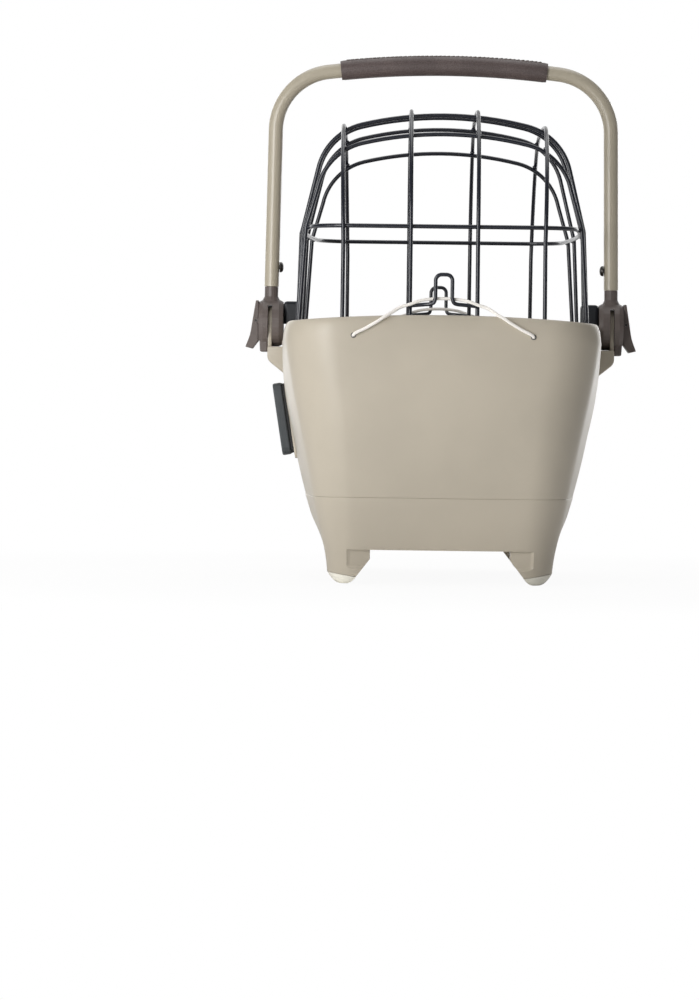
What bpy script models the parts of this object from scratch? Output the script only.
"""Dog bicycle basket.

A two-shell tub on four legs, a wire dome held down by two elastic cords, a folding carrying
handle with sprung release levers, a cushion, and a plate that fastens the tub to a bicycle.

Metres, +Z up. The origin is on the floor, under the middle of the four feet.
X runs across the basket and Y along it. The mounting plate is on the -X side.
"""
import math

import bmesh
import bpy
from mathutils import Matrix, Vector

# Tub, outside
RIM_HEIGHT = 0.2430            # top of the rim along the two long sides
RIM_RISE = 0.0060              # how much higher the rim stands at the middle of the two ends
RIM_HALF_WIDTH = 0.1518        # at mid length
RIM_HALF_LENGTH = 0.2250
END_BOW = 0.0040               # the end walls bow outwards by this much
RIM_SIDE_BOW = 0.0035          # the side walls bow outwards by this much at the rim
BOW_FADE_HEIGHT = 0.0500       # below this the side walls get straighter again
RIM_CORNER_RADIUS = 0.0450
FOOT_CORNER_RADIUS = 0.0260
SIDE_INSET = 0.0479            # how far the walls come in from rim to foot level, at mid length
CORNER_INSET = 0.0446          # and at the corners
CORNER_TAPER_POWER = 1.15
END_INSET = 0.0400             # how far the end walls come in from rim to foot level
STRAIGHT_SHARE = 0.03          # share of the inset that is a straight taper, the rest is a parabola
SEAM_HEIGHT = 0.0806           # joint between upper and lower shell
UNDERSIDE_HEIGHT = 0.0320
WALL = 0.0032
FLOOR = 0.0035
FLOOR_ROUND = 0.0080           # round between the floor and the walls, inside

# Rim, bead and the ledge that carries the dome
RIM_BEAD = 0.0065
RIM_ROUND = 0.0050
RIM_LIP_ROUND = 0.0015
LEDGE_DEPTH = 0.0095
LEDGE_WIDTH = 0.0050
LEDGE_FACE = 0.0020
LEDGE_TAPER = 0.0120
LAP_HEIGHT = 0.0052            # the upper shell's tongue reaches this far into the lower shell
LAP_WALL = 0.0013
BAND_PROUD = 0.0005            # the lower shell stands this much proud at the seam

# Legs and feet
FOOT_HEIGHT = 0.0085           # joint between a leg and its cap, at the middle of the cap
FOOT_TILT_SHARE = 0.155        # the joint falls by this share towards the middle plane
LEG_FOOT_WIDTH = 0.0254        # from the tub's corner inwards, at foot level
LEG_FOOT_LENGTH = 0.0245
LEG_FLARE = 0.0125             # the legs reach this much further in at the underside
LEG_FLARE_HEIGHT = 0.0230
LEG_STEP = 0.0035              # the inner part of a leg's end face stands back by this much
LEG_STEP_WIDTH = 0.0205        # width of that part at the underside
LEG_STEP_FOOT = 0.0165
SOCKET_RADIUS = 0.0070
SOCKET_DEPTH = 0.0120
CAP_FLAT_SHARE = 0.30          # flat under the domed cap as a share of its outline
CAP_STEM = 0.0090
MIDDLE_SHARE = 0.46            # middle of a foot, as a share of its width and length

# General clearances
MILLIMETRE = 0.001
GAP = 0.0003
RUNNING_GAP = 0.0004
OVERRUN = 0.0100               # how far a cutter reaches past what it cuts

# Handle hinge on each side
PIVOT_RISE = 0.0010            # pivot above the rim
HUB_RADIUS = 0.0226
HUB_SHOULDER = 0.0022          # how much smaller the hub is at its two faces
HUB_SHOULDER_WIDTH = 0.0040
HUB_WIDTH = 0.0236
HUB_CLEARANCE = 0.0006         # between the rim and the hub
EAR_PLACE = 0.0146             # outer face of the ear, from the hub's inner face
EAR_THICKNESS = 0.0036
EAR_RADIUS = 0.0165
PIN_RADIUS = 0.0040
BOSS_HEIGHT = 0.0250
BOSS_FACE = 0.0070             # height of the boss's straight outer face
BOSS_HALF_LENGTH = 0.0240
BOSS_ROOT = 0.0020             # how deep the boss is rooted in the wall
BOSS_EDGE = 0.0020
YOKE_TAIL = 0.0280             # the outer leg reaches this far below the pivot
YOKE_TAIL_HALF = 0.0130
YOKE_TAIL_TAPER = 0.0016
YOKE_EDGE = 0.0012
NECK_RADIUS = 0.00655
NECK_FLARE = 0.0035
NECK_RISE = 0.0350             # top of the neck above the pivot
SPIGOT_LENGTH = 0.0300

# Handle
TUBE_RADIUS = 0.0070
TUBE_WALL = 0.0012
ARM_LEAN = 0.0029              # the arms come together by this much at the upper corners
HAND_ROOM = 0.0501             # from the top of the dome up to the middle of the crossbar
BEND_RADIUS = 0.0575
CROSSBAR_RADIUS = 0.9070
GRIP_BEND_GAP = 0.0043         # the grip's ends stand this far in from the arms' bends
GRIP_RADIUS = 0.0095
GRIP_CLEARANCE = 0.0004
RIVET_RISE = 0.0190            # rivet above the top of the neck
RIVET_HEAD_RADIUS = 0.0050
RIVET_HEAD = 0.0038
RIVET_SHANK = 0.0021
RIVET_DOME_SHARES = ((1.0, 0.35), (0.8, 0.75), (0.35, 1.0), (0.0, 1.0))

# Release lever on each yoke
LEVER_PIN_OUT = 0.0026         # pin from the hub's outer face
LEVER_PIN_RISE = 0.0020        # pin above the handle's pivot
LEVER_RISE = 0.0215            # top of the lever above the handle's pivot
LEVER_DROP = 0.0234            # tip of the lever below the handle's pivot
LEVER_HALF_LENGTH = 0.0105
LEVER_THICK = 0.0030
LEVER_BULGE = 0.0061           # lever's thickness at its pin
LEVER_WAIST = 0.0084           # and at its spring
LEVER_FLARE = 0.0127           # tip of the lever from the hub's outer face
LEVER_TIP_THICK = 0.0068
LEVER_HUG = 0.0176             # the lever leaves the hub this far below the handle's pivot
LEVER_TRAVEL_DEG = 6.0
LEVER_PIN_RADIUS = 0.0012
CHEEK_RADIUS = 0.0030
CHEEK_LENGTH = 0.0020
SPRING_DROP = 0.0136           # spring below the lever's pin
SPRING_RADIUS = 0.0026
SPRING_WIRE = 0.0004
SPRING_TURNS = 3.5
SPRING_POCKET_DEPTH = 0.0070

# Wire dome
WIRE_RADIUS = 0.0020
DOME_RISE = 0.2010             # centre line of the middle arch above the rim
DOME_CROWN_RADIUS = 1.4000     # lengthwise
DOME_END_RADIUS = 0.1107
DOME_END_IN = 0.0293           # arches stand this far in from the tub's ends at the middle ring
DOME_SHOULDER = 0.0100         # the end bend starts this far outside its own centre
ARCH_CROWN_RADIUS = 0.3300     # crosswise
ARCH_SHOULDER_RADIUS = 0.0550
ARCH_SHOULDER_REACH = 0.0600   # from the arch's foot in to where its shoulder bend starts
ARCH_SHOULDER_END_DEG = 78.0
ARCH_PLACES = (-0.1520, -0.1050, 0.0, 0.1050, 0.1520)
MID_RING_RISE = 0.0880         # middle ring above the rim
MID_LEAN = 0.0027              # the middle arch leans in by this much at the middle ring
MID_BOW = 0.0075
MID_RING_CORNER = 0.0390
LONG_WIRE_PLACES = (-0.0930, -0.0310, 0.0310, 0.0930)

# Hook at each end of the dome: across, out from the rim's end and up from the rim
HOOK_WIRE_RADIUS = 0.0018
HOOK_BENDS = ((0.0325, -0.0119, 0.0142), (0.0260, -0.0116, 0.0149), (0.0180, -0.0110, 0.0156),
              (0.0120, -0.0094, 0.0162), (0.0090, -0.0081, 0.0178), (0.0077, -0.0077, 0.0220))
HOOK_RISE = 0.0432
HOOK_TOP_RADIUS = 0.0055

# Clips that hold the dome to the rim
CLIP_RISE = 0.0220
CLIP_HALF_LENGTH = 0.0110
CLIP_WALL = 0.0015
CLIP_EDGE = 0.0030

# Elastic cords
CORD_RADIUS = 0.0015
CORD_HOLE_X = 0.0825
CORD_HOLE_DROP = 0.0134        # below the rim
CORD_HOLE_RADIUS = 0.0026
CORD_STOP_RADIUS = 0.0038
CORD_STOP_LENGTH = 0.0060
CORD_RIM_X = 0.0600            # where the cord starts to turn over the rim
CORD_RIM_STEP = 0.0045
CORD_WRAP_DEG = 53.0           # how far the cord turns over the rim before it leaves it
CORD_SLACK = 0.0003            # how far the cord stands off what it lies on, besides the gap
CORD_CROSSING = ((0.0400, -0.0068, 0.0127), (0.0310, -0.0078, 0.0156), (0.0240, -0.0084, 0.0183),
                 (0.0150, -0.0108, 0.0203), (0.0, -0.0118, 0.0213))

# Mounting plate on the -X wall
PLATE_HEIGHT = 0.0695
PLATE_HALF_LENGTH = 0.0380
PLATE_THICK = 0.0086
PLATE_CORNER = 0.0070
PLATE_EDGE = 0.0015
PLATE_DROP = 0.0560            # the plate's upper edge below the rim
GASKET_THICK = 0.0024
GASKET_MARGIN = 0.0012
PAD_MARGIN = 0.0045
PAD_PROUD = 0.0013             # the moulded pad stands this much off the wall's chord
PAD_THICK = 0.0058
BACKING_THICK = 0.0020
BACKING_MARGIN = 0.0060
SCREW_RADIUS = 0.0025
SCREW_HEAD_RADIUS = 0.0046
SCREW_HEAD = 0.0030
SCREW_DOME_SHARE = 0.7         # flat on the screw's head as a share of its radius
SCREW_BITE = 0.0055
SCREW_HALF_HEIGHT = 0.0225
SCREW_HALF_LENGTH = 0.0255

# Cushion
CUSHION_THICK = 0.0340
CUSHION_CROWN = 0.0080
CUSHION_PINCH = 0.0060         # how far the sides draw in between their corners
CUSHION_CLEARANCE = 0.0060
CUSHION_EDGE = 0.0085          # height of the rounded edge, above and below
CUSHION_EDGE_WIDTH = 0.0128
CUSHION_RISE_SHARE = 0.25      # share of the way to the middle over which the top rises from its edge
TUFT_DEPTH = 0.0090
TUFT_RADIUS = 0.0162
TUFT_SPACING = 0.0900

# Places that follow from the sizes above
PIVOT_HEIGHT = RIM_HEIGHT + PIVOT_RISE
HUB_INNER = RIM_HALF_WIDTH + HUB_CLEARANCE
HUB_OUTER = HUB_INNER + HUB_WIDTH
HUB_TOP = PIVOT_HEIGHT + HUB_RADIUS
BOSS_TOP = PIVOT_HEIGHT - HUB_RADIUS - RUNNING_GAP
BOSS_FOOT = BOSS_TOP - BOSS_HEIGHT
BOSS_REACH = HUB_INNER + EAR_PLACE
NECK_TOP = PIVOT_HEIGHT + NECK_RISE
RIVET_HEIGHT = NECK_TOP + RIVET_RISE
ARM_FOOT = (HUB_INNER + HUB_OUTER) / 2
ARM_CORNER = ARM_FOOT - ARM_LEAN
LEVER_PIN_X = HUB_OUTER + LEVER_PIN_OUT
LEVER_PIN_HEIGHT = PIVOT_HEIGHT + LEVER_PIN_RISE
SPRING_HEIGHT = LEVER_PIN_HEIGHT - SPRING_DROP
DOME_TOP = RIM_HEIGHT + DOME_RISE
CROSSBAR_HEIGHT = DOME_TOP + HAND_ROOM
GRIP_HALF = ARM_CORNER - BEND_RADIUS - GRIP_BEND_GAP
GRIP_SLOPE = math.asin(GRIP_HALF / CROSSBAR_RADIUS)
GRIP_END_HEIGHT = CROSSBAR_HEIGHT - CROSSBAR_RADIUS * (1.0 - math.cos(GRIP_SLOPE))
CORNER_HEIGHT = GRIP_END_HEIGHT - math.tan(GRIP_SLOPE) * (ARM_CORNER - GRIP_HALF)
DOME_END_HALF = RIM_HALF_LENGTH - DOME_END_IN
DOME_END_CENTRE = DOME_END_HALF - DOME_END_RADIUS
DOME_SHOULDER_START = DOME_END_CENTRE + DOME_SHOULDER
MID_RING_HEIGHT = RIM_HEIGHT + MID_RING_RISE
HOOK_TOP = RIM_HEIGHT + HOOK_RISE
CLIP_TOP = RIM_HEIGHT + CLIP_RISE
CORD_HOLE_HEIGHT = RIM_HEIGHT - CORD_HOLE_DROP
PLATE_TOP = RIM_HEIGHT - PLATE_DROP

# Facets
CORNER_STEPS = 6
SIDE_STEPS = 4
END_STEPS = 3
WIRE_SIDES_RESOLUTION = 1
CORD_SIDES_RESOLUTION = 2
TUBE_SIDES_RESOLUTION = 4
HUB_SIDES = 32
BOSS_STEPS = 4
CAP_STEPS = 5
SPRING_TURN_POINTS = 8
ROUND_SIDES = 16
SMALL_SIDES = 10


# Materials

def material(name, colour, roughness, metallic=0.0):
    """Make a Principled material."""
    made = bpy.data.materials.new(name)
    made.use_nodes = True
    shader = made.node_tree.nodes["Principled BSDF"]
    shader.inputs["Base Color"].default_value = (*colour, 1.0)
    shader.inputs["Roughness"].default_value = roughness
    shader.inputs["Metallic"].default_value = metallic
    return made


def make_materials():
    """All finishes of the basket, by name."""
    return {
        "shell": material("warm_grey_plastic", (0.52, 0.47, 0.38), 0.35),
        "foot": material("cream_plastic", (0.76, 0.73, 0.64), 0.45),
        "cushion": material("cushion_cloth", (0.30, 0.27, 0.24), 0.9),
        "plate": material("black_nylon", (0.06, 0.07, 0.08), 0.5),
        "gasket": material("black_rubber", (0.02, 0.02, 0.02), 0.8),
        "steel": material("zinc_steel", (0.55, 0.55, 0.55), 0.35, 1.0),
        "wire": material("coated_wire", (0.02, 0.025, 0.035), 0.25),
        "clip": material("black_clip", (0.03, 0.035, 0.045), 0.45),
        "cord": material("elastic_cord", (0.85, 0.80, 0.72), 0.8),
        "tube": material("painted_tube", (0.52, 0.48, 0.40), 0.35),
        "grip": material("brown_leather", (0.16, 0.12, 0.11), 0.6),
        "yoke": material("brown_plastic", (0.09, 0.065, 0.06), 0.4),
        "rivet": material("dark_rivet", (0.05, 0.05, 0.05), 0.3, 1.0),
    }


# Mesh helpers

def mesh_object(name, bm, finish):
    """Turn a bmesh into a shaded object with outward faces."""
    bmesh.ops.recalc_face_normals(bm, faces=bm.faces)
    mesh = bpy.data.meshes.new(name)
    bm.to_mesh(mesh)
    bm.free()
    mesh.shade_smooth()
    mesh.set_sharp_from_angle(angle=math.radians(35.0))
    if finish:
        mesh.materials.append(finish)
    made = bpy.data.objects.new(name, mesh)
    bpy.context.collection.objects.link(made)
    return made


def loft(name, rings, finish, closed=False):
    """Skin a list of rings of equally many points; open lofts get flat ends."""
    bm = bmesh.new()
    rows = [[bm.verts.new(point) for point in ring] for ring in rings]
    pairs = list(zip(rows, rows[1:]))
    if closed:
        pairs.append((rows[-1], rows[0]))
    count = len(rows[0])
    for lower, upper in pairs:
        for i in range(count):
            j = (i + 1) % count
            bm.faces.new((lower[i], lower[j], upper[j], upper[i]))
    if not closed:
        bm.faces.new(rows[0])
        bm.faces.new(rows[-1])
    return mesh_object(name, bm, finish)


def prism(name, outline, start, end, finish=None):
    """Extrude an outline of 3-D points along the vector from start to end."""
    rings = [[Vector(p) + Vector(start) for p in outline], [Vector(p) + Vector(end) for p in outline]]
    return loft(name, rings, finish)


def cylinder(name, start, end, radius, sides=ROUND_SIDES, finish=None, end_radius=None):
    """A round bar between two points; end_radius makes it a cone."""
    bm = bmesh.new()
    run = Vector(end) - Vector(start)
    turn = Vector((0.0, 0.0, 1.0)).rotation_difference(run).to_matrix().to_4x4()
    place = Matrix.Translation((Vector(start) + Vector(end)) / 2) @ turn
    bmesh.ops.create_cone(bm, cap_ends=True, segments=sides, radius1=radius,
                          radius2=radius if end_radius is None else end_radius,
                          depth=run.length, matrix=place)
    return mesh_object(name, bm, finish)


def box(name, low, high, finish=None):
    """An axis-aligned box between two corners."""
    bm = bmesh.new()
    size = Vector(high) - Vector(low)
    middle = (Vector(high) + Vector(low)) / 2
    shape = Matrix.Translation(middle) @ Matrix.Diagonal((*size, 1.0))
    bmesh.ops.create_cube(bm, size=1.0, matrix=shape)
    return mesh_object(name, bm, finish)


def settle(target):
    """Apply all of an object's modifiers to its mesh."""
    shown = bpy.context.evaluated_depsgraph_get()
    mesh = bpy.data.meshes.new_from_object(target.evaluated_get(shown))
    mesh.name = target.name
    target.modifiers.clear()
    target.data = mesh
    return target


def combine(target, other, operation):
    """Boolean target with another object, which is used up."""
    change = target.modifiers.new(operation.lower(), "BOOLEAN")
    change.operation = operation
    change.object = other
    settle(target)
    bpy.data.objects.remove(other)
    target.data.shade_smooth()
    target.data.set_sharp_from_angle(angle=math.radians(35.0))
    return target


def round_edges(target, width, segments=2, angle=50.0):
    """Round the edges of a solid that turn by more than an angle."""
    change = target.modifiers.new("edges", "BEVEL")
    change.width = width
    change.segments = segments
    change.limit_method = "ANGLE"
    change.angle_limit = math.radians(angle)
    return settle(target)


def wire(name, route, radius, finish, closed=False, resolution=WIRE_SIDES_RESOLUTION, capped=True):
    """A round wire along a route of points, as a curve with a bevel."""
    data = bpy.data.curves.new(name, "CURVE")
    data.dimensions = "3D"
    data.bevel_depth = radius
    data.bevel_resolution = resolution
    data.use_fill_caps = capped and not closed
    line = data.splines.new("POLY")
    line.points.add(len(route) - 1)
    for place, point in zip(line.points, route):
        place.co = (*point, 1.0)
    line.use_cyclic_u = closed
    line.use_smooth = True
    data.materials.append(finish)
    made = bpy.data.objects.new(name, data)
    bpy.context.collection.objects.link(made)
    return made


def as_mesh(source):
    """Replace a curve object by a mesh object of the same name, with all modifiers applied."""
    shown = bpy.context.evaluated_depsgraph_get()
    mesh = bpy.data.meshes.new_from_object(source.evaluated_get(shown))
    name = source.name
    bpy.data.objects.remove(source)
    bm = bmesh.new()
    bm.from_mesh(mesh)
    bmesh.ops.remove_doubles(bm, verts=bm.verts, dist=GAP / 10)
    made = mesh_object(name, bm, mesh.materials[0])
    return made


def rounded_route(corners, steps=6):
    """A polyline through (point, radius) corners, with an arc of each radius at its corner."""
    points = [Vector(corners[0][0])]
    for (before, _), (corner, radius), (after, _) in zip(corners, corners[1:], corners[2:]):
        corner = Vector(corner)
        inward = (Vector(before) - corner).normalized()
        outward = (Vector(after) - corner).normalized()
        half = inward.angle(outward) / 2
        reach = radius / math.tan(half)
        centre = corner + (inward + outward).normalized() * radius / math.sin(half)
        start = corner + inward * reach - centre
        end = corner + outward * reach - centre
        for k in range(steps + 1):
            points.append(centre + start.slerp(end, k / steps).normalized() * radius)
    points.append(Vector(corners[-1][0]))
    return points


def smooth_route(points, per_span):
    """A smooth curve through hand-chosen points, with per_span points for each stretch."""
    points = [Vector(p) for p in points]
    line = [points[0] * 2 - points[1], *points, points[-1] * 2 - points[-2]]
    route = []
    for before, start, end, after in zip(line, line[1:], line[2:], line[3:]):
        for k in range(per_span):
            t = k / per_span
            bend = (before * -1 + start * 3 - end * 3 + after) * t ** 3
            rise = (before * 2 - start * 5 + end * 4 - after) * t ** 2
            route.append((start * 2 + (end - before) * t + rise + bend) / 2)
    route.append(points[-1])
    return route


# Shape of the tub

def depth_share(height):
    """Share of the way down from the rim to foot level."""
    return (RIM_HEIGHT - height) / (RIM_HEIGHT - FOOT_HEIGHT)


def tub_sizes(height):
    """Half width and half length at the corners, the bow of the sides and the corner radius."""
    depth = depth_share(height)
    share = depth * (STRAIGHT_SHARE + (1.0 - STRAIGHT_SHARE) * abs(depth))
    rest = max(0.0, 1.0 - depth)
    corner_share = 1.0 - rest ** CORNER_TAPER_POWER
    half_width = RIM_HALF_WIDTH - RIM_SIDE_BOW - CORNER_INSET * corner_share
    half_length = RIM_HALF_LENGTH - END_INSET * share - END_BOW
    fade = min(1.0, max(0.0, height) / BOW_FADE_HEIGHT)
    bow = (RIM_HALF_WIDTH - SIDE_INSET * share - half_width) * fade
    radius = FOOT_CORNER_RADIUS + (RIM_CORNER_RADIUS - FOOT_CORNER_RADIUS) * rest
    return half_width, half_length, bow, radius


def rim_lift(x):
    """How much higher the rim stands at a place across the tub's ends."""
    half_width = tub_sizes(RIM_HEIGHT)[0]
    return RIM_RISE * (1.0 - (x / half_width) ** 2)


def tub_ring(height, inset=0.0, rise=0.0, level=None):
    """One ring of the tub: its outline at a height, moved in by inset.

    rise is the share of the rim's rise that the ring follows at the ends. level is the height
    whose outline is used, where that isn't the ring's own.
    """
    half_width, half_length, bow, corner = tub_sizes(height if level is None else level)
    radius = corner - inset
    wide = half_width - inset
    long = half_length - inset
    flat_x = wide - radius
    flat_y = long - radius
    quarter = [(wide, flat_y * k / SIDE_STEPS) for k in range(SIDE_STEPS)]
    for k in range(CORNER_STEPS + 1):
        turn = math.pi / 2 * k / CORNER_STEPS
        quarter.append((flat_x + radius * math.cos(turn), flat_y + radius * math.sin(turn)))
    quarter += [(flat_x * (1.0 - k / END_STEPS), long) for k in range(1, END_STEPS + 1)]
    back = [(-x, y) for x, y in reversed(quarter[:-1])]
    half = quarter + back
    outline = half + [(x, -y) for x, y in reversed(half[1:-1])]
    ring = []
    for x, y in outline:
        bowed_x = x * (1.0 + bow / wide * (1.0 - (y / long) ** 2))
        bowed_y = y * (1.0 + END_BOW / long * (1.0 - (x / wide) ** 2))
        ring.append((bowed_x, bowed_y, height + rise * RIM_RISE * (1.0 - (x / wide) ** 2)))
    return ring


def wall_x(y, height, inset=0.0):
    """Half width of the tub at a place along it."""
    half_width, half_length, bow, _ = tub_sizes(height)
    return half_width - inset + bow * (1.0 - (y / half_length) ** 2)


def wall_y(x, height, inset=0.0):
    """Half length of the tub at a place across it."""
    half_width, half_length, _, _ = tub_sizes(height)
    return half_length - inset + END_BOW * (1.0 - (x / half_width) ** 2)


# Upper shell

def upper_shell_rings():
    """Rings of the upper shell: up the outside, over the rim, down the inside, round the lap."""
    top = RIM_HEIGHT
    seam = SEAM_HEIGHT + GAP
    rings = []
    wall_steps = 5
    shoulder = top - 2 * RIM_ROUND
    for k in range(wall_steps):
        height = seam + (shoulder - seam) * k / (wall_steps - 1)
        rings.append(tub_ring(height, rise=max(0.0, 2.0 * k / (wall_steps - 1) - 1.0)))
    for k in range(4):
        turn = math.pi / 2 * k / 3
        inset = RIM_ROUND * (1.0 - math.cos(turn))
        rings.append(tub_ring(top - RIM_ROUND * (1.0 - math.sin(turn)), inset, 1.0, top))
    for k in range(2):
        turn = math.pi / 2 * k
        inset = RIM_BEAD - RIM_LIP_ROUND * (1.0 - math.sin(turn))
        rings.append(tub_ring(top - RIM_LIP_ROUND * (1.0 - math.cos(turn)), inset, 1.0, top))
    ledge = top - LEDGE_DEPTH
    rings.append(tub_ring(ledge, RIM_BEAD, 0.0, top))
    rings.append(tub_ring(ledge, RIM_BEAD + LEDGE_WIDTH, 0.0, top))
    rings.append(tub_ring(ledge - LEDGE_FACE, RIM_BEAD + LEDGE_WIDTH, 0.0, top))
    inner_top = ledge - LEDGE_FACE - LEDGE_TAPER
    for k in range(wall_steps - 1):
        height = inner_top + (seam - inner_top) * k / (wall_steps - 2)
        rings.append(tub_ring(height, WALL))
    tongue = seam - LAP_HEIGHT
    rings.append(tub_ring(tongue, WALL))
    rings.append(tub_ring(tongue, WALL - LAP_WALL))
    rings.append(tub_ring(seam, WALL - LAP_WALL))
    return rings


def hinge_boss(side):
    """The ledge and ear that carry one yoke, rooted in the wall."""
    root_top = wall_x(0.0, BOSS_TOP) - BOSS_ROOT
    root_foot = wall_x(0.0, BOSS_FOOT) - BOSS_ROOT
    outline = [(root_top, BOSS_TOP), (BOSS_REACH, BOSS_TOP)]
    face = Vector((BOSS_REACH, BOSS_TOP - BOSS_FACE))
    foot = Vector((root_foot + BOSS_ROOT + GAP, BOSS_FOOT))
    corner = Vector((BOSS_REACH, BOSS_FOOT + BOSS_EDGE))
    for k in range(BOSS_STEPS + 1):
        t = k / BOSS_STEPS
        point = face * (1.0 - t) ** 2 + corner * 2 * t * (1.0 - t) + foot * t ** 2
        outline.append((point.x, point.y))
    outline.append((root_foot, BOSS_FOOT))
    boss = prism("boss", [(side * x, 0.0, z) for x, z in outline],
                 (0.0, -BOSS_HALF_LENGTH, 0.0), (0.0, BOSS_HALF_LENGTH, 0.0))
    round_edges(boss, BOSS_EDGE)
    ear_inner = BOSS_REACH - EAR_THICKNESS - GAP / 2
    ear_outline = []
    for k in range(ROUND_SIDES + 1):
        turn = math.pi * k / ROUND_SIDES
        ear_outline.append((0.0, EAR_RADIUS * math.cos(turn), PIVOT_HEIGHT + EAR_RADIUS * math.sin(turn)))
    ear_foot = BOSS_TOP - BOSS_FACE / 2
    ear_outline += [(0.0, -EAR_RADIUS, ear_foot), (0.0, EAR_RADIUS, ear_foot)]
    ear = prism("ear", ear_outline, (side * ear_inner, 0.0, 0.0),
                (side * (ear_inner + EAR_THICKNESS), 0.0, 0.0))
    combine(boss, ear, "UNION")
    bore = cylinder("bore", (side * HUB_INNER, 0.0, PIVOT_HEIGHT), (side * HUB_OUTER, 0.0, PIVOT_HEIGHT),
                    PIN_RADIUS + GAP)
    return combine(boss, bore, "DIFFERENCE")


def plate_frame():
    """Matrix of the mounting pad: x outwards, y along the wall, z up it, at the pad's face."""
    top_x = wall_x(0.0, PLATE_TOP)
    slope = 0.0
    for _ in range(8):
        foot_height = PLATE_TOP - PLATE_HEIGHT * math.cos(slope)
        slope = math.atan2(top_x - wall_x(0.0, foot_height), PLATE_TOP - foot_height)
    middle_x = (top_x + wall_x(0.0, foot_height)) / 2
    middle_z = (PLATE_TOP + foot_height) / 2
    outward = Vector((-math.cos(slope), 0.0, -math.sin(slope)))
    upward = Vector((-math.sin(slope), 0.0, math.cos(slope)))
    along = upward.cross(outward)
    centre = Vector((-middle_x, 0.0, middle_z)) + outward * PAD_PROUD
    frame = Matrix((outward, along, upward)).transposed().to_4x4()
    return Matrix.Translation(centre) @ frame


def plate_slab(name, low, high, half_length, half_height, corner, finish=None):
    """A slab parallel to the mounting pad, between two distances from it, with round corners."""
    outline = []
    for sy, sz, start in ((1, 1, 0), (-1, 1, 1), (-1, -1, 2), (1, -1, 3)):
        for k in range(4):
            turn = math.pi / 2 * (start + k / 3)
            outline.append((0.0, sy * (half_length - corner) + corner * math.cos(turn),
                            sz * (half_height - corner) + corner * math.sin(turn)))
    slab = prism(name, outline, (low, 0.0, 0.0), (high, 0.0, 0.0), finish)
    slab.data.transform(plate_frame())
    return slab


def screw_places():
    """Centres of the four plate screws, along and up the pad."""
    return [(sy * SCREW_HALF_LENGTH, sz * SCREW_HALF_HEIGHT) for sy in (-1, 1) for sz in (-1, 1)]


def plate_bar(name, y, z, low, high, radius, sides=SMALL_SIDES, finish=None):
    """A round bar square to the mounting pad."""
    bar = cylinder(name, (low, y, z), (high, y, z), radius, sides, finish)
    bar.data.transform(plate_frame())
    return bar


def build_upper_shell(finish):
    """Upper shell with its rim, hinge bosses, mounting pad and cord holes."""
    shell = loft("upper_shell", upper_shell_rings(), finish, closed=True)
    for side in (-1, 1):
        combine(shell, hinge_boss(side), "UNION")
    pad_height = PLATE_HEIGHT / 2 + PAD_MARGIN
    pad_length = PLATE_HALF_LENGTH + PAD_MARGIN
    pad = plate_slab("pad", -PAD_THICK, 0.0, pad_length, pad_height, PLATE_CORNER)
    combine(shell, pad, "UNION")
    for y, z in screw_places():
        hole = plate_bar("hole", y, z, -PAD_THICK - OVERRUN / 4, OVERRUN / 4, SCREW_RADIUS + GAP)
        combine(shell, hole, "DIFFERENCE")
    for side in (-1, 1):
        for end in (-1, 1):
            outside = wall_y(CORD_HOLE_X, CORD_HOLE_HEIGHT) + OVERRUN
            inside = outside - 2 * OVERRUN - RIM_BEAD - LEDGE_WIDTH
            hole = cylinder("hole", (side * CORD_HOLE_X, end * inside, CORD_HOLE_HEIGHT),
                            (side * CORD_HOLE_X, end * outside, CORD_HOLE_HEIGHT),
                            CORD_HOLE_RADIUS, SMALL_SIDES)
            combine(shell, hole, "DIFFERENCE")
    return shell


# Lower shell and legs

def leg_inner():
    """Inner faces of the legs at foot level: across and along."""
    half_width, half_length, _, _ = tub_sizes(FOOT_HEIGHT)
    return half_width - LEG_FOOT_WIDTH, half_length - LEG_FOOT_LENGTH


def foot_joint(x):
    """Height of the slanting joint between leg and cap at a place across."""
    inner_x, _ = leg_inner()
    return FOOT_HEIGHT + FOOT_TILT_SHARE * (abs(x) - inner_x - LEG_FOOT_WIDTH / 2)


def leg_centre(side, end):
    """Middle of a foot, on the floor."""
    inner_x, inner_y = leg_inner()
    return Vector((side * (inner_x + LEG_FOOT_WIDTH * MIDDLE_SHARE),
                   end * (inner_y + LEG_FOOT_LENGTH * MIDDLE_SHARE), 0.0))


def foot_outline():
    """Outline of the foot in the +X +Y corner at foot level."""
    inner_x, inner_y = leg_inner()
    ring = [(x, y) for x, y, _ in tub_ring(FOOT_HEIGHT) if x > inner_x + GAP and y > inner_y + GAP]
    side_x = wall_x(inner_y, FOOT_HEIGHT)
    end_y = wall_y(inner_x, FOOT_HEIGHT)
    return [(inner_x, inner_y), (side_x, inner_y), *ring, (inner_x, end_y)]


def between_legs(inner, reach):
    """Cross-section of the space between the legs: half gap and height, from below the floor up."""
    slope = LEG_FLARE / (LEG_FLARE_HEIGHT - FOOT_HEIGHT)
    half = [(inner + slope * (FOOT_HEIGHT + OVERRUN), -OVERRUN), (inner - LEG_FLARE, LEG_FLARE_HEIGHT),
            (inner - LEG_FLARE, reach)]
    return half + [(-wide, height) for wide, height in reversed(half)]


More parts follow.
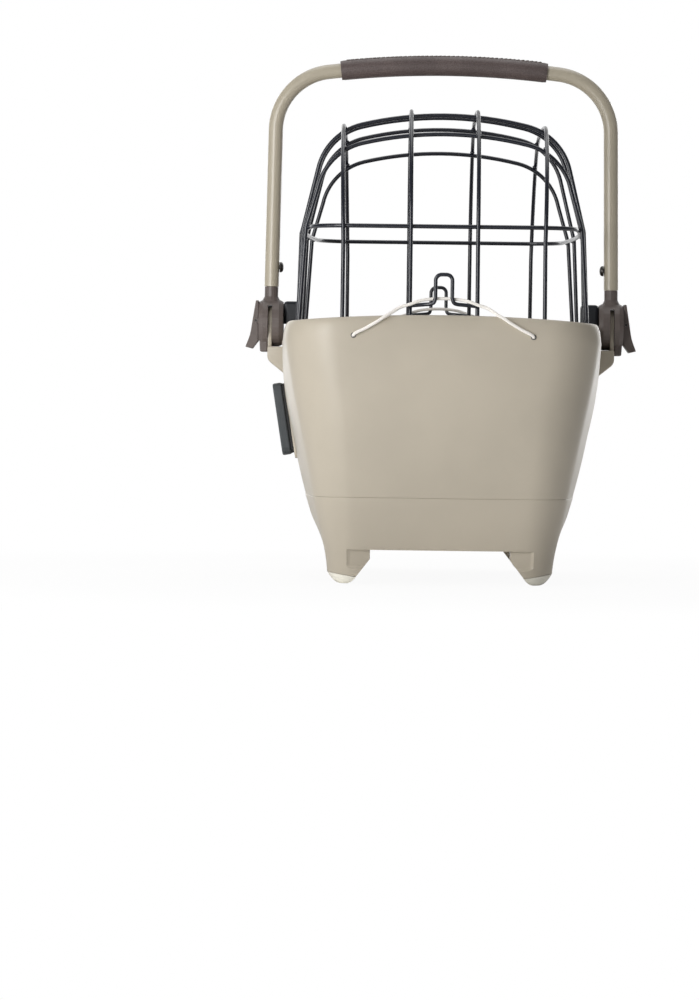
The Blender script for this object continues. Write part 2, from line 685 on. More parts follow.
def leg_cutters():
    """What is cut away below the underside so that four legs remain."""
    inner_x, inner_y = leg_inner()
    long = RIM_HALF_LENGTH + OVERRUN
    across = RIM_HALF_WIDTH + OVERRUN
    yield prism("lengthwise", [(x, 0.0, z) for x, z in between_legs(inner_x, UNDERSIDE_HEIGHT)],
                (0.0, -long, 0.0), (0.0, long, 0.0))
    yield prism("crosswise", [(0.0, y, z) for y, z in between_legs(inner_y, UNDERSIDE_HEIGHT)],
                (-across, 0.0, 0.0), (across, 0.0, 0.0))
    step_x = inner_x - LEG_FLARE + LEG_STEP_WIDTH
    face = wall_y(step_x, LEG_STEP_FOOT)
    for end in (-1, 1):
        rings = []
        for y, slant in ((face - LEG_STEP, 0.0), (face, LEG_STEP), (long, LEG_STEP)):
            low = LEG_STEP_FOOT - slant
            wide = step_x + slant
            half = [(inner_x - LEG_FLARE, low), (wide, low), (wide, UNDERSIDE_HEIGHT)]
            outline = half + [(-x, z) for x, z in reversed(half)]
            rings.append([Vector((x, end * y, z)) for x, z in outline])
        yield loft("step", rings, None)
    for side in (-1, 1):
        near = side * inner_x / 2
        far = side * across
        outline = [(near, foot_joint(near)), (far, foot_joint(far)), (far, -OVERRUN), (near, -OVERRUN)]
        yield prism("joint", [(x, 0.0, z) for x, z in outline], (0.0, -long, 0.0), (0.0, long, 0.0))


def lower_shell_outside():
    """Outer rings of the lower shell from the feet to the seam."""
    rings = [tub_ring(0.0), tub_ring(UNDERSIDE_HEIGHT / 2), tub_ring(UNDERSIDE_HEIGHT)]
    steps = 3
    proud_top = SEAM_HEIGHT - BAND_PROUD
    for k in range(1, steps + 1):
        height = UNDERSIDE_HEIGHT + (proud_top - UNDERSIDE_HEIGHT) * k / steps
        rings.append(tub_ring(height, -BAND_PROUD * k / steps))
    rings.append(tub_ring(SEAM_HEIGHT, 0.0))
    return rings


def lower_shell_inside():
    """Cavity of the lower shell, with the rebate that takes the upper shell's tongue."""
    floor = UNDERSIDE_HEIGHT + FLOOR
    middle = floor + FLOOR_ROUND
    rings = []
    for k in range(4):
        turn = math.pi / 2 * k / 3
        height = middle - FLOOR_ROUND * math.cos(turn)
        rings.append(tub_ring(height, WALL + FLOOR_ROUND * (1.0 - math.sin(turn)), 0.0, middle))
    shelf = SEAM_HEIGHT - LAP_HEIGHT
    rings.append(tub_ring(shelf, WALL + GAP))
    rings.append(tub_ring(shelf, WALL - LAP_WALL - GAP))
    rings.append(tub_ring(SEAM_HEIGHT + OVERRUN, WALL - LAP_WALL - GAP))
    return rings


def build_base_shell(finish):
    """Lower shell with its floor and four legs, which have a socket each."""
    shell = loft("base_shell", lower_shell_outside(), finish)
    for cutter in leg_cutters():
        combine(shell, cutter, "DIFFERENCE")
    combine(shell, loft("cavity", lower_shell_inside(), None), "DIFFERENCE")
    for side in (-1, 1):
        for end in (-1, 1):
            foot = leg_centre(side, end)
            top = foot + Vector((0.0, 0.0, FOOT_HEIGHT + SOCKET_DEPTH))
            combine(shell, cylinder("socket", foot, top, SOCKET_RADIUS), "DIFFERENCE")
    return shell


def build_foot_cap(name, side, end, finish):
    """A domed foot cap with the stem that plugs into its leg."""
    middle = leg_centre(side, end)
    outline = [Vector((side * x, end * y, 0.0)) for x, y in foot_outline()]
    rings = []
    for k in range(CAP_STEPS + 1):
        turn = math.pi / 2 * k / CAP_STEPS
        share = CAP_FLAT_SHARE + (1.0 - CAP_FLAT_SHARE) * math.sin(turn)
        ring = []
        for corner in outline:
            point = middle + (corner - middle) * share
            point.z = (foot_joint(corner.x) - GAP) * (1.0 - math.cos(turn))
            ring.append(point)
        rings.append(ring)
    cap = loft(name, rings, finish)
    foot = middle + Vector((0.0, 0.0, FOOT_HEIGHT / 2))
    top = middle + Vector((0.0, 0.0, FOOT_HEIGHT + CAP_STEM))
    stem = cylinder("stem", foot, top, SOCKET_RADIUS - GAP)
    return combine(cap, stem, "UNION")


# Cushion

def build_cushion(finish):
    """A tufted, crowned cushion on the floor of the tub."""
    floor = UNDERSIDE_HEIGHT + FLOOR + GAP
    level = floor + CUSHION_THICK / 2
    outline = tub_ring(level, WALL + CUSHION_CLEARANCE)
    half_width = max(p[0] for p in outline)
    half_length = max(p[1] for p in outline)

    def top_at(x, y, share):
        """Height of the quilted top: a crown, less the dimples of the tufts."""
        crown = CUSHION_CROWN * (1.0 - (x / half_width) ** 2) * (1.0 - (y / half_length) ** 2)
        dimples = 0.0
        for row in (-1, 1):
            for column in (-1, 0, 1):
                away = math.hypot(x - row * TUFT_SPACING / 2, y - column * TUFT_SPACING)
                dimples += TUFT_DEPTH * math.exp(-(away / TUFT_RADIUS) ** 2)
        edge = CUSHION_EDGE * (1.0 - share)
        return floor + CUSHION_THICK - edge + crown - dimples

    def ring(inset, height):
        """A ring of the cushion's outline, drawn in between its corners."""
        points = []
        for x, y, _ in outline:
            pull = CUSHION_PINCH * (1.0 - (x / half_width) ** 2 * (y / half_length) ** 2)
            length = math.hypot(x, y)
            share = (length - inset - pull) / length
            points.append(Vector((x * share, y * share, height)))
        return points

    rings = []
    for k in range(3):
        turn = math.pi / 2 * k / 2
        rings.append(ring(CUSHION_EDGE_WIDTH * (1.0 - math.sin(turn)),
                          floor + CUSHION_EDGE * (1.0 - math.cos(turn))))
    for k in range(3):
        turn = math.pi / 2 * k / 2
        height = floor + CUSHION_THICK - CUSHION_EDGE * (2 - math.sin(turn))
        rings.append(ring(CUSHION_EDGE_WIDTH * (1.0 - math.cos(turn)), height))
    edge = rings[-1]
    inner_steps = 6
    for k in range(1, inner_steps):
        share = 1.0 - k / inner_steps
        risen = min(1.0, (1.0 - share) / CUSHION_RISE_SHARE)
        rings.append([Vector((p.x * share, p.y * share, top_at(p.x * share, p.y * share, risen)))
                      for p in edge])
    return loft("cushion", rings, finish)


# Handle

def arm_x(height):
    """Half distance between the handle's arms at a height."""
    share = (height - NECK_TOP) / (CORNER_HEIGHT - NECK_TOP)
    return ARM_FOOT + (ARM_CORNER - ARM_FOOT) * share


def handle_route():
    """Centre line of the handle tube, from the left neck over the top to the right neck."""
    foot = NECK_TOP + GAP
    peak = GRIP_END_HEIGHT + math.tan(GRIP_SLOPE) * GRIP_HALF
    left = [((-arm_x(foot), 0.0, foot), 0.0), ((-ARM_CORNER, 0.0, CORNER_HEIGHT), BEND_RADIUS)]
    right = [((-x, y, z), radius) for (x, y, z), radius in reversed(left)]
    return rounded_route([*left, ((0.0, 0.0, peak), CROSSBAR_RADIUS), *right], steps=5)


def build_handle_tube(finish):
    """The bent tube, hollow, with a hole for each rivet."""
    tube = wire("handle_tube", handle_route(), TUBE_RADIUS, finish, False, TUBE_SIDES_RESOLUTION, False)
    wall = tube.modifiers.new("wall", "SOLIDIFY")
    wall.thickness = TUBE_WALL
    wall.offset = -1.0
    tube = as_mesh(tube)
    for side in (-1, 1):
        x = arm_x(RIVET_HEIGHT)
        hole = cylinder("hole", (side * (x - TUBE_RADIUS - OVERRUN), 0.0, RIVET_HEIGHT),
                        (side * x, 0.0, RIVET_HEIGHT), RIVET_SHANK + GAP, SMALL_SIDES)
        combine(tube, hole, "DIFFERENCE")
    return tube


def build_handle_grip(finish):
    """The leather sleeve round the crossbar."""
    steps = 10
    centre = CROSSBAR_HEIGHT - CROSSBAR_RADIUS
    route = []
    for k in range(steps + 1):
        x = GRIP_HALF * (2.0 * k / steps - 1.0)
        route.append((x, 0.0, centre + math.sqrt(CROSSBAR_RADIUS ** 2 - x ** 2)))
    grip = wire("handle_grip", route, GRIP_RADIUS, finish, False, TUBE_SIDES_RESOLUTION, False)
    sides = 2 * (TUBE_SIDES_RESOLUTION + 2)
    bore = (TUBE_RADIUS + GRIP_CLEARANCE) / math.cos(math.pi / sides)
    sleeve = grip.modifiers.new("sleeve", "SOLIDIFY")
    sleeve.thickness = GRIP_RADIUS - bore
    sleeve.offset = -1.0
    return as_mesh(grip)


def turned(name, centre, sections, finish, sides=SMALL_SIDES):
    """A turned piece along X: (x, radius) sections about a centre in Y and Z, with flat ends."""
    turns = [2 * math.pi * k / sides for k in range(sides)]
    y, z = centre
    rings = [[Vector((x, y + radius * math.cos(a), z + radius * math.sin(a))) for a in turns]
             for x, radius in sections]
    return loft(name, rings, finish)


def build_rivet(name, side, finish):
    """A dome-headed rivet that holds the tube on its spigot."""
    face = arm_x(RIVET_HEIGHT) - TUBE_RADIUS - GAP
    sections = [(side * (face - RIVET_HEAD * depth), RIVET_HEAD_RADIUS * width)
                for depth, width in RIVET_DOME_SHARES]
    sections += [(side * face, RIVET_SHANK), (side * (face + TUBE_RADIUS), RIVET_SHANK)]
    return turned(name, (0.0, RIVET_HEIGHT), sections, finish)


def lever_room(height):
    """How far the yoke's outer face stands back behind the release lever at a height."""
    below = max(0.0, LEVER_PIN_HEIGHT - height)
    return below * math.tan(math.radians(LEVER_TRAVEL_DEG)) + GAP


def build_yoke(name, side, finish):
    """The forked hub that turns on the ear, with its neck and the spigot inside the tube."""
    small = HUB_RADIUS - HUB_SHOULDER
    sections = [(HUB_INNER, small), (HUB_INNER + HUB_SHOULDER_WIDTH, HUB_RADIUS),
                (HUB_OUTER - HUB_SHOULDER_WIDTH, HUB_RADIUS), (HUB_OUTER, small)]
    sections = [(side * x, radius) for x, radius in sections]
    hub = turned(name, (0.0, PIVOT_HEIGHT), sections, finish, HUB_SIDES)
    ear_outer = BOSS_REACH - GAP / 2
    slot_inner = ear_outer - EAR_THICKNESS - GAP
    slot_outer = ear_outer + GAP
    tail_foot = PIVOT_HEIGHT - YOKE_TAIL
    outline = [(slot_outer, PIVOT_HEIGHT), (HUB_OUTER, PIVOT_HEIGHT),
               (HUB_OUTER - YOKE_TAIL_TAPER, tail_foot), (slot_outer, tail_foot)]
    tail = prism("tail", [(side * x, 0.0, z) for x, z in outline], (0.0, -YOKE_TAIL_HALF, 0.0),
                 (0.0, YOKE_TAIL_HALF, 0.0))
    round_edges(tail, YOKE_EDGE)
    combine(hub, tail, "UNION")
    low = tail_foot - OVERRUN
    along = HUB_RADIUS + OVERRUN
    slot = box("slot", (min(side * slot_inner, side * slot_outer), -along, low),
               (max(side * slot_inner, side * slot_outer), along, PIVOT_HEIGHT + EAR_RADIUS + RUNNING_GAP))
    combine(hub, slot, "DIFFERENCE")
    outline = [(HUB_OUTER + OVERRUN, LEVER_PIN_HEIGHT), (HUB_OUTER, LEVER_PIN_HEIGHT),
               (HUB_OUTER - lever_room(low), low), (HUB_OUTER + OVERRUN, low)]
    half = LEVER_HALF_LENGTH + RUNNING_GAP
    recess = prism("recess", [(side * x, 0.0, z) for x, z in outline], (0.0, -half, 0.0), (0.0, half, 0.0))
    combine(hub, recess, "DIFFERENCE")
    neck_foot = (side * arm_x(HUB_TOP - NECK_FLARE), 0.0, HUB_TOP - NECK_FLARE)
    neck = cylinder("neck", neck_foot, (side * arm_x(NECK_TOP), 0.0, NECK_TOP), NECK_RADIUS)
    combine(hub, neck, "UNION")
    flare_top = (side * arm_x(HUB_TOP + NECK_FLARE), 0.0, HUB_TOP + NECK_FLARE)
    flare = cylinder("flare", neck_foot, flare_top, NECK_RADIUS + NECK_FLARE, ROUND_SIDES, None,
                     NECK_RADIUS - GAP)
    combine(hub, flare, "UNION")
    spigot_radius = (TUBE_RADIUS - TUBE_WALL) * math.cos(math.pi / 12) - 2 * GAP
    spigot_top = NECK_TOP + SPIGOT_LENGTH
    spigot_foot = NECK_TOP - NECK_RADIUS / 2
    spigot = cylinder("spigot", (side * arm_x(spigot_foot), 0.0, spigot_foot),
                      (side * arm_x(spigot_top), 0.0, spigot_top), spigot_radius)
    combine(hub, spigot, "UNION")
    bore = cylinder("bore", (side * (HUB_INNER - OVERRUN), 0.0, PIVOT_HEIGHT),
                    (side * (HUB_OUTER + OVERRUN), 0.0, PIVOT_HEIGHT), PIN_RADIUS + GAP)
    combine(hub, bore, "DIFFERENCE")
    rivet_x = arm_x(RIVET_HEIGHT)
    rivet_end = (side * (rivet_x + 2 * RIVET_SHANK), 0.0, RIVET_HEIGHT)
    rivet_hole = cylinder("hole", (side * (rivet_x - TUBE_RADIUS), 0.0, RIVET_HEIGHT), rivet_end,
                          RIVET_SHANK + GAP, SMALL_SIDES)
    combine(hub, rivet_hole, "DIFFERENCE")
    for end in (-1, 1):
        start = end * (LEVER_HALF_LENGTH + GAP)
        cheek = cylinder("cheek", (side * LEVER_PIN_X, start, LEVER_PIN_HEIGHT),
                         (side * LEVER_PIN_X, start + end * CHEEK_LENGTH, LEVER_PIN_HEIGHT),
                         CHEEK_RADIUS, SMALL_SIDES)
        combine(hub, cheek, "UNION")
    pin_hole = cylinder("hole", (side * LEVER_PIN_X, -2 * LEVER_HALF_LENGTH, LEVER_PIN_HEIGHT),
                        (side * LEVER_PIN_X, 2 * LEVER_HALF_LENGTH, LEVER_PIN_HEIGHT),
                        LEVER_PIN_RADIUS + GAP, SMALL_SIDES)
    combine(hub, pin_hole, "DIFFERENCE")
    pocket_floor = (side * (HUB_OUTER - SPRING_POCKET_DEPTH), 0.0, SPRING_HEIGHT)
    pocket = cylinder("pocket", pocket_floor, (side * (HUB_OUTER + OVERRUN), 0.0, SPRING_HEIGHT),
                      SPRING_RADIUS + 2 * SPRING_WIRE)
    return combine(hub, pocket, "DIFFERENCE")


def build_pivot_pin(name, side, finish):
    """The pin that joins a yoke to its ear."""
    outer = HUB_OUTER - lever_room(PIVOT_HEIGHT - PIN_RADIUS) - GAP
    return cylinder(name, (side * (HUB_INNER + GAP), 0.0, PIVOT_HEIGHT),
                    (side * outer, 0.0, PIVOT_HEIGHT), PIN_RADIUS, ROUND_SIDES, finish)


def build_lever(name, side, finish):
    """The release lever: a curved plate with a flared tip, bored for its pin."""
    top = PIVOT_HEIGHT + LEVER_RISE
    tip = PIVOT_HEIGHT - LEVER_DROP
    face = [(LEVER_THICK, top), (LEVER_BULGE, LEVER_PIN_HEIGHT), (LEVER_WAIST, SPRING_HEIGHT),
            (LEVER_FLARE, tip)]
    outer = [(HUB_OUTER + p.x, p.z) for p in smooth_route([(out, 0.0, z) for out, z in face], 3)]
    heel = (HUB_OUTER + LEVER_FLARE - LEVER_TIP_THICK, tip - LEVER_TIP_THICK / 4)
    inner = [heel, (HUB_OUTER + GAP, PIVOT_HEIGHT - LEVER_HUG), (HUB_OUTER + GAP, top)]
    outline = [(side * x, 0.0, z) for x, z in outer + inner]
    lever = prism(name, outline, (0.0, -LEVER_HALF_LENGTH, 0.0), (0.0, LEVER_HALF_LENGTH, 0.0), finish)
    round_edges(lever, YOKE_EDGE / 2)
    bore = cylinder("bore", (side * LEVER_PIN_X, -2 * LEVER_HALF_LENGTH, LEVER_PIN_HEIGHT),
                    (side * LEVER_PIN_X, 2 * LEVER_HALF_LENGTH, LEVER_PIN_HEIGHT),
                    LEVER_PIN_RADIUS + GAP, SMALL_SIDES)
    return combine(lever, bore, "DIFFERENCE")


def build_lever_pin(name, side, finish):
    """The cross pin of a release lever, held in the yoke's cheeks."""
    reach = LEVER_HALF_LENGTH + GAP + CHEEK_LENGTH
    return cylinder(name, (side * LEVER_PIN_X, -reach, LEVER_PIN_HEIGHT),
                    (side * LEVER_PIN_X, reach, LEVER_PIN_HEIGHT), LEVER_PIN_RADIUS, SMALL_SIDES, finish)


def build_spring(name, side, finish):
    """The coil spring between a yoke's pocket and its lever."""
    start = HUB_OUTER - SPRING_POCKET_DEPTH + SPRING_WIRE + GAP
    end = HUB_OUTER - SPRING_WIRE
    count = round(SPRING_TURNS * SPRING_TURN_POINTS)
    route = []
    for k in range(count + 1):
        angle = 2 * math.pi * k / SPRING_TURN_POINTS
        x = start + (end - start) * k / count
        route.append((side * x, SPRING_RADIUS * math.cos(angle),
                      SPRING_HEIGHT + SPRING_RADIUS * math.sin(angle)))
    pitch = (end - start) / SPRING_TURNS
    print(f"{name}: least gap between turns {(pitch - 2 * SPRING_WIRE) / MILLIMETRE:.2f} mm")
    return wire(name, route, SPRING_WIRE, finish, resolution=1)


# Dome

def end_bend_height():
    """Height of the centre of the dome's end bends, so that they run on into the crown."""
    crown = math.sqrt(DOME_CROWN_RADIUS ** 2 - DOME_SHOULDER_START ** 2) - DOME_CROWN_RADIUS
    return DOME_TOP + crown - math.sqrt(DOME_END_RADIUS ** 2 - DOME_SHOULDER ** 2)


def dome_height(y):
    """Height of the arches' crown along the basket."""
    y = abs(y)
    if y <= DOME_SHOULDER_START:
        return DOME_TOP - DOME_CROWN_RADIUS + math.sqrt(DOME_CROWN_RADIUS ** 2 - y ** 2)
    return end_bend_height() + math.sqrt(max(0.0, DOME_END_RADIUS ** 2 - (y - DOME_END_CENTRE) ** 2))


def arch_foot_x(y):
    """Half width of an arch at its feet, just inside the base ring."""
    return wall_x(y, RIM_HEIGHT, RIM_BEAD + GAP + 2 * WIRE_RADIUS + GAP + WIRE_RADIUS)


def arch_mid_x(y):
    """Half width of an arch at the middle ring."""
    return arch_foot_x(0.0) - MID_LEAN - MID_BOW * (y / ARCH_PLACES[-1]) ** 2


def arch_shoulder(y):
    """Start of an arch's shoulder bend, its start angle and its centre's depth below the crown."""
    start = arch_foot_x(y) - ARCH_SHOULDER_REACH
    angle = math.asin(start / ARCH_CROWN_RADIUS)
    drop = ARCH_CROWN_RADIUS * (1.0 - math.cos(angle)) + ARCH_SHOULDER_RADIUS * math.cos(angle)
    return start, angle, drop


def base_ring_height():
    """Height of the base ring's centre line, just above the ledge."""
    return RIM_HEIGHT - LEDGE_DEPTH + GAP + WIRE_RADIUS


def arch_half(y):
    """Half of an arch's centre line as (x, z), from its foot to its crown."""
    start, first, drop = arch_shoulder(y)
    top = dome_height(y)
    last = math.radians(ARCH_SHOULDER_END_DEG)
    centre_x = start - ARCH_SHOULDER_RADIUS * math.sin(first)
    points = [(arch_foot_x(y), base_ring_height() - WIRE_RADIUS)]
    points.append((arch_mid_x(y), MID_RING_HEIGHT))
    steps = 5
    for k in range(steps + 1):
        angle = last + (first - last) * k / steps
        points.append((centre_x + ARCH_SHOULDER_RADIUS * math.sin(angle),
                       top - drop + ARCH_SHOULDER_RADIUS * math.cos(angle)))
    crown_steps = 3
    for k in range(1, crown_steps + 1):
        angle = first * (1.0 - k / crown_steps)
        points.append((ARCH_CROWN_RADIUS * math.sin(angle),
                       top - ARCH_CROWN_RADIUS * (1.0 - math.cos(angle))))
    return points


def build_arch(name, y, finish):
    """One cross arch of the dome."""
    half = arch_half(y)
    route = [(x, y, z) for x, z in half] + [(-x, y, z) for x, z in reversed(half[:-1])]
    return wire(name, route, WIRE_RADIUS, finish)


def crown_drop(x):
    """How far the middle arch has dropped at a place across it, and its slope there."""
    x = abs(x)
    start, angle, drop = arch_shoulder(0.0)
    if x <= start:
        turn = math.asin(x / ARCH_CROWN_RADIUS)
        return ARCH_CROWN_RADIUS * (1.0 - math.cos(turn)), math.tan(turn)
    turn = math.asin((x - start + ARCH_SHOULDER_RADIUS * math.sin(angle)) / ARCH_SHOULDER_RADIUS)
    return drop - ARCH_SHOULDER_RADIUS * math.cos(turn), math.tan(turn)


def long_wire_half(x):
    """Half of a lengthwise wire as (x, y, z), from its foot to the middle, lying on the arches."""
    drop, slope = crown_drop(x)
    offset = 2 * WIRE_RADIUS + GAP
    side = math.copysign(1.0, x)
    first = math.asin(DOME_SHOULDER / DOME_END_RADIUS)
    foot_y = wall_y(x, RIM_HEIGHT, RIM_BEAD + GAP + 2 * WIRE_RADIUS + GAP + WIRE_RADIUS)
    points = [(x, foot_y, base_ring_height() - WIRE_RADIUS),
              (x, DOME_END_HALF + offset, MID_RING_HEIGHT - drop)]
    steps = 8
    stations = []
    for k in range(1, steps + 1):
        angle = math.pi / 2 + (first - math.pi / 2) * k / steps
        stations.append((DOME_END_CENTRE + DOME_END_RADIUS * math.sin(angle),
                         end_bend_height() + DOME_END_RADIUS * math.cos(angle), angle))
    for share in (0.5, 0.0):
        y = DOME_SHOULDER_START * share
        stations.append((y, dome_height(y), math.asin(y / DOME_CROWN_RADIUS)))
    for y, z, angle in stations:
        normal = Vector((side * slope * math.cos(angle), math.sin(angle), math.cos(angle))).normalized()
        points.append((x + offset * normal.x, y + offset * normal.y, z - drop + offset * normal.z))
    return points


def build_long_wire(name, x, finish):
    """One lengthwise wire of the dome, outside the arches."""
    half = long_wire_half(x)
    route = half + [(a, -b, c) for a, b, c in reversed(half[:-1])]
    return wire(name, route, WIRE_RADIUS, finish)


def mid_ring_route():
    """Centre line of the middle ring, inside the arches and the lengthwise wires."""
    offset = 2 * WIRE_RADIUS + GAP
    side_end = DOME_END_HALF - MID_RING_CORNER
    side_steps = 5
    quarter = []
    for k in range(side_steps):
        y = side_end * k / side_steps
        quarter.append((arch_mid_x(y) - offset, y))
    corner_x = arch_mid_x(side_end) - offset - MID_RING_CORNER
    for k in range(6):
        turn = math.pi / 2 * k / 5
        quarter.append((corner_x + MID_RING_CORNER * math.cos(turn),
                        side_end + MID_RING_CORNER * math.sin(turn)))
    quarter.append((0.0, DOME_END_HALF))
    half = quarter + [(-x, y) for x, y in reversed(quarter[:-1])]
    outline = half + [(x, -y) for x, y in reversed(half[1:-1])]
    return [(x, y, MID_RING_HEIGHT) for x, y in outline]


def build_mid_ring(finish):
    """The ring half way up the dome."""
    return wire("cage_mid_ring", mid_ring_route(), WIRE_RADIUS, finish, closed=True)


def build_base_ring(finish):
    """The ring that the dome stands on, inside the rim and on its ledge."""
    inset = RIM_BEAD + GAP + WIRE_RADIUS
    route = tub_ring(base_ring_height(), inset, 0.0, RIM_HEIGHT)
    return wire("cage_base_ring", route, WIRE_RADIUS, finish, closed=True)


def hook_route(end):
    """Centre line of the bent hook that holds a cord, from one lengthwise wire to the next."""
    half = [Vector((x, end * (RIM_HALF_LENGTH + out), RIM_HEIGHT + up)) for x, out, up in HOOK_BENDS]
    shoulder = smooth_route(half, 2)
    leg_x, leg_y, _ = half[-1]
    corner = HOOK_TOP_RADIUS
    arc = []
    for k in range(4):
        turn = math.pi / 2 * k / 3
        arc.append(Vector((leg_x - corner * (1.0 - math.cos(turn)), leg_y,
                           HOOK_TOP - corner * (1.0 - math.sin(turn)))))
    half = shoulder + arc
    return half + [Vector((-p.x, p.y, p.z)) for p in reversed(half)]


def build_hook(name, end, finish):
    """The hook wire at one end of the dome."""
    return wire(name, hook_route(end), HOOK_WIRE_RADIUS, finish)


def build_clip(name, side, finish):
    """The clip that sits on the rim and the base ring and is threaded on the middle arch."""
    outer = HUB_INNER - RUNNING_GAP
    rim_top = RIM_HEIGHT + GAP
    bead_inner = wall_x(0.0, RIM_HEIGHT, RIM_BEAD) - GAP
    ring_top = base_ring_height() + WIRE_RADIUS + GAP
    foot, mid = arch_half(0.0)[:2]
    inner = foot[0] - WIRE_RADIUS - GAP - CLIP_WALL
    outline = [(outer, rim_top), (outer, CLIP_TOP), (inner, CLIP_TOP), (inner, ring_top),
               (bead_inner, ring_top), (bead_inner, rim_top)]
    clip = prism(name, [(side * x, 0.0, z) for x, z in outline],
                 (0.0, -CLIP_HALF_LENGTH, 0.0), (0.0, CLIP_HALF_LENGTH, 0.0), finish)
    cap = box("cap", (min(side * inner, side * outer), -CLIP_HALF_LENGTH, rim_top - CLIP_RISE),
              (max(side * inner, side * outer), CLIP_HALF_LENGTH, CLIP_TOP))
    round_edges(cap, CLIP_EDGE)
    combine(clip, cap, "INTERSECT")
    rise = (mid[0] - foot[0]) / (mid[1] - foot[1])
    low = foot[1] - OVERRUN
    high = CLIP_TOP + OVERRUN
    bore = cylinder("bore", (side * (foot[0] + rise * (low - foot[1])), 0.0, low),
                    (side * (foot[0] + rise * (high - foot[1])), 0.0, high),
                    (WIRE_RADIUS + GAP) / math.cos(math.pi / SMALL_SIDES), SMALL_SIDES)
    return combine(clip, bore, "DIFFERENCE")


# Elastic cords

def cord_half():
    """Half of a cord's route as (x, y, z) for the +Y end, from its stop inside to the hook."""
    lift = CORD_RADIUS + GAP + CORD_SLACK
    hole_y = wall_y(CORD_HOLE_X, CORD_HOLE_HEIGHT)
    inside = hole_y - RIM_BEAD - LEDGE_WIDTH - CORD_STOP_LENGTH
    points = [(CORD_HOLE_X, inside, CORD_HOLE_HEIGHT),
              (CORD_HOLE_X, hole_y - RIM_BEAD, CORD_HOLE_HEIGHT),
              (CORD_HOLE_X, hole_y + lift / 3, CORD_HOLE_HEIGHT),
              (CORD_HOLE_X - lift, hole_y + lift + CORD_SLACK, CORD_HOLE_HEIGHT + lift)]
    rim_centre = RIM_HEIGHT + rim_lift(CORD_RIM_X) - RIM_ROUND
    middle_x = (CORD_HOLE_X + CORD_RIM_X) / 2
    middle_z = (CORD_HOLE_HEIGHT + rim_centre) / 2
    points.append((middle_x, wall_y(middle_x, RIM_HEIGHT) + lift, middle_z))
    wrap = RIM_ROUND + lift
    for k in range(3):
        turn = math.radians(CORD_WRAP_DEG) * k / 2
        x = CORD_RIM_X - CORD_RIM_STEP * k
        points.append((x, wall_y(x, RIM_HEIGHT) - RIM_ROUND + wrap * math.cos(turn),
                       rim_centre + wrap * math.sin(turn)))
    return points + [(x, RIM_HALF_LENGTH + out, RIM_HEIGHT + up) for x, out, up in CORD_CROSSING]


def cord_route(end):
    """The whole route of a cord at one end of the basket."""
    half = [(x, end * y, z) for x, y, z in cord_half()]
    points = half + [(-x, y, z) for x, y, z in reversed(half[:-1])]
    return smooth_route(points, 2)


def build_cord(name, end, finish):
    """One elastic cord, from stop to stop."""
    return wire(name, cord_route(end), CORD_RADIUS, finish, False, CORD_SIDES_RESOLUTION)


def build_cord_stop(name, side, end, finish):
    """A knot that keeps a cord from pulling out of its hole."""
    bm = bmesh.new()
    face = wall_y(CORD_HOLE_X, CORD_HOLE_HEIGHT) - RIM_BEAD - LEDGE_WIDTH - CORD_STOP_LENGTH - GAP
    place = Matrix.Translation((side * CORD_HOLE_X, end * (face - CORD_STOP_RADIUS), CORD_HOLE_HEIGHT))
    bmesh.ops.create_uvsphere(bm, u_segments=SMALL_SIDES, v_segments=6, radius=CORD_STOP_RADIUS,
                              matrix=place @ Matrix.Rotation(math.pi / 2, 4, "X"))
    return mesh_object(name, bm, finish)


# Mounting plate

def build_mount_plate(finish):
    """The plate that meets the bicycle's adapter, with blind holes for its screws."""
    inner = GASKET_THICK + 2 * GAP
    plate = plate_slab("mount_plate", inner, inner + PLATE_THICK, PLATE_HALF_LENGTH, PLATE_HEIGHT / 2,
                       PLATE_CORNER, finish)
    round_edges(plate, PLATE_EDGE)
    for y, z in screw_places():
        hole = plate_bar("hole", y, z, inner - OVERRUN, inner + SCREW_BITE + GAP, SCREW_RADIUS + GAP)
        combine(plate, hole, "DIFFERENCE")
    return plate


def build_gasket(finish):
    """The rubber sheet between the plate and the tub."""
    gasket = plate_slab("mount_gasket", GAP, GAP + GASKET_THICK, PLATE_HALF_LENGTH - GASKET_MARGIN,
                        PLATE_HEIGHT / 2 - GASKET_MARGIN, PLATE_CORNER - GASKET_MARGIN, finish)
    for y, z in screw_places():
        hole = plate_bar("hole", y, z, -OVERRUN, OVERRUN, SCREW_RADIUS + GAP)
        combine(gasket, hole, "DIFFERENCE")
    return gasket


def build_backing_plate(finish):
    """The steel plate inside the tub that spreads the load."""
    high = -PAD_THICK - GAP
    backing = plate_slab("mount_backing_plate", high - BACKING_THICK, high,
                         PLATE_HALF_LENGTH - BACKING_MARGIN, PLATE_HEIGHT / 2 - BACKING_MARGIN,
                         PLATE_CORNER, finish)
    for y, z in screw_places():
        hole = plate_bar("hole", y, z, high - OVERRUN, high + OVERRUN / 2, SCREW_RADIUS + GAP)
        combine(backing, hole, "DIFFERENCE")
    return backing


def build_mount_screw(name, place, finish):
    """A pan-head screw from inside the tub into the plate."""
    under_head = -PAD_THICK - BACKING_THICK - 2 * GAP
    tip = GASKET_THICK + 2 * GAP + SCREW_BITE
    sections = [(under_head - SCREW_HEAD, SCREW_HEAD_RADIUS * SCREW_DOME_SHARE),
                (under_head - SCREW_HEAD / 2, SCREW_HEAD_RADIUS),
                (under_head, SCREW_HEAD_RADIUS), (under_head, SCREW_RADIUS), (tip, SCREW_RADIUS)]
    screw = turned(name, place, sections, finish)
    screw.data.transform(plate_frame())
    return screw


# Assembly

def on_axis(piece, axis_point):
    """Move a piece's origin to its joint's axis, leaving its shape where it is."""
    offset = Vector(axis_point)
    piece.data.transform(Matrix.Translation(-offset))
    piece.location = offset
    return piece


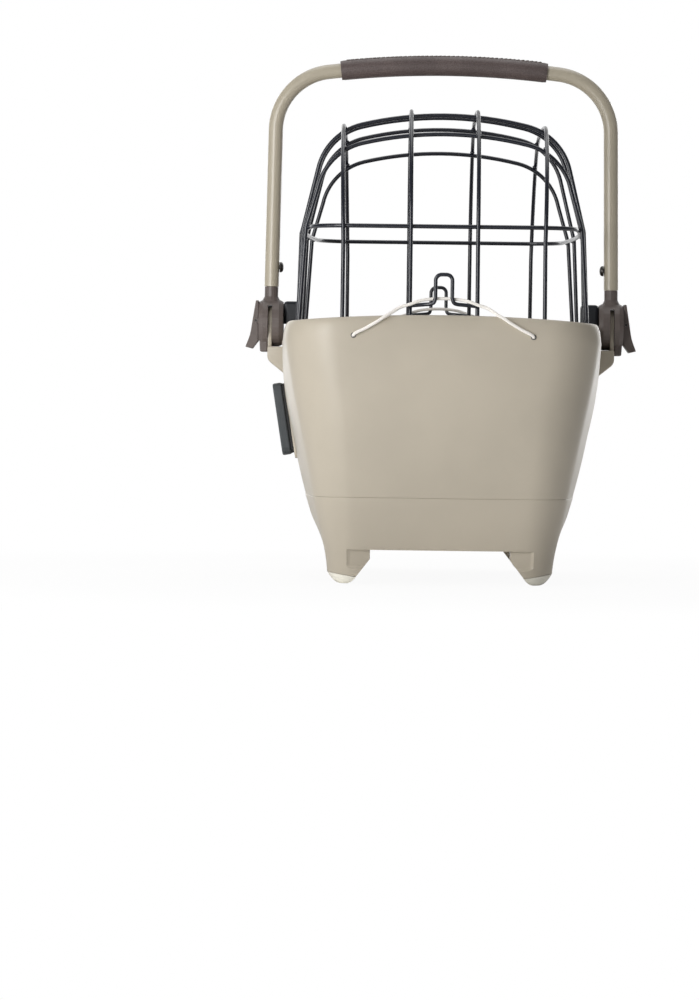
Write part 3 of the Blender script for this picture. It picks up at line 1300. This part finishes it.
def build_tub(finishes):
    """The two shells, feet, cushion and mounting hardware."""
    build_upper_shell(finishes["shell"])
    build_base_shell(finishes["shell"])
    for end, end_name in ((-1, "front"), (1, "back")):
        for side, side_name in ((-1, "left"), (1, "right")):
            build_foot_cap(f"foot_cap_{end_name}_{side_name}", side, end, finishes["foot"])
    build_cushion(finishes["cushion"])
    build_mount_plate(finishes["plate"])
    build_gasket(finishes["gasket"])
    build_backing_plate(finishes["steel"])
    for number, place in enumerate(screw_places(), 1):
        build_mount_screw(f"mount_screw_{number}", place, finishes["steel"])


def build_dome(finishes):
    """Every wire of the dome, its hooks, its clips and the two cords."""
    wires = []
    for number, y in enumerate(ARCH_PLACES, 1):
        wires.append(build_arch(f"cage_arch_{number}", y, finishes["wire"]))
    for number, x in enumerate(LONG_WIRE_PLACES, 1):
        wires.append(build_long_wire(f"cage_long_wire_{number}", x, finishes["wire"]))
    wires.append(build_mid_ring(finishes["wire"]))
    wires.append(build_base_ring(finishes["wire"]))
    for end, end_name in ((-1, "front"), (1, "back")):
        wires.append(build_hook(f"cage_hook_{end_name}", end, finishes["wire"]))
        build_cord(f"elastic_cord_{end_name}", end, finishes["cord"])
        for side, side_name in ((-1, "left"), (1, "right")):
            build_cord_stop(f"cord_stop_{end_name}_{side_name}", side, end, finishes["cord"])
    for side, side_name in ((-1, "left"), (1, "right")):
        wires.append(build_clip(f"cage_clip_{side_name}", side, finishes["clip"]))
    dome = bpy.data.objects.new("dome_lift", None)
    bpy.context.collection.objects.link(dome)
    for piece in wires:
        piece.parent = dome


def build_handle(finishes):
    """The folding handle with its yokes, pins, rivets and release levers."""
    axis = (0.0, 0.0, PIVOT_HEIGHT)
    pieces = [build_handle_tube(finishes["tube"]), build_handle_grip(finishes["grip"])]
    springs = []
    levers = []
    for side, side_name in ((-1, "left"), (1, "right")):
        pieces.append(build_yoke(f"handle_yoke_{side_name}", side, finishes["yoke"]))
        pieces.append(build_pivot_pin(f"handle_pivot_pin_{side_name}", side, finishes["steel"]))
        pieces.append(build_rivet(f"handle_rivet_{side_name}", side, finishes["rivet"]))
        pieces.append(build_lever_pin(f"lever_pin_{side_name}", side, finishes["steel"]))
        springs.append(build_spring(f"lever_spring_{side_name}", side, finishes["steel"]))
        lever = build_lever(f"release_lever_{side_name}", side, finishes["yoke"])
        levers.append(on_axis(lever, (side * LEVER_PIN_X, 0.0, LEVER_PIN_HEIGHT)))
    hinge = bpy.data.objects.new("handle_hinge", None)
    hinge.location = axis
    bpy.context.collection.objects.link(hinge)
    bpy.context.view_layer.update()
    for piece in pieces:
        on_axis(piece, axis)
    for piece in pieces + springs + levers:
        piece.parent = hinge
        piece.matrix_parent_inverse = hinge.matrix_world.inverted()


def main():
    """Clear the scene and build the basket."""
    for old in list(bpy.data.objects):
        bpy.data.objects.remove(old)
    finishes = make_materials()
    build_tub(finishes)
    build_dome(finishes)
    build_handle(finishes)


main()
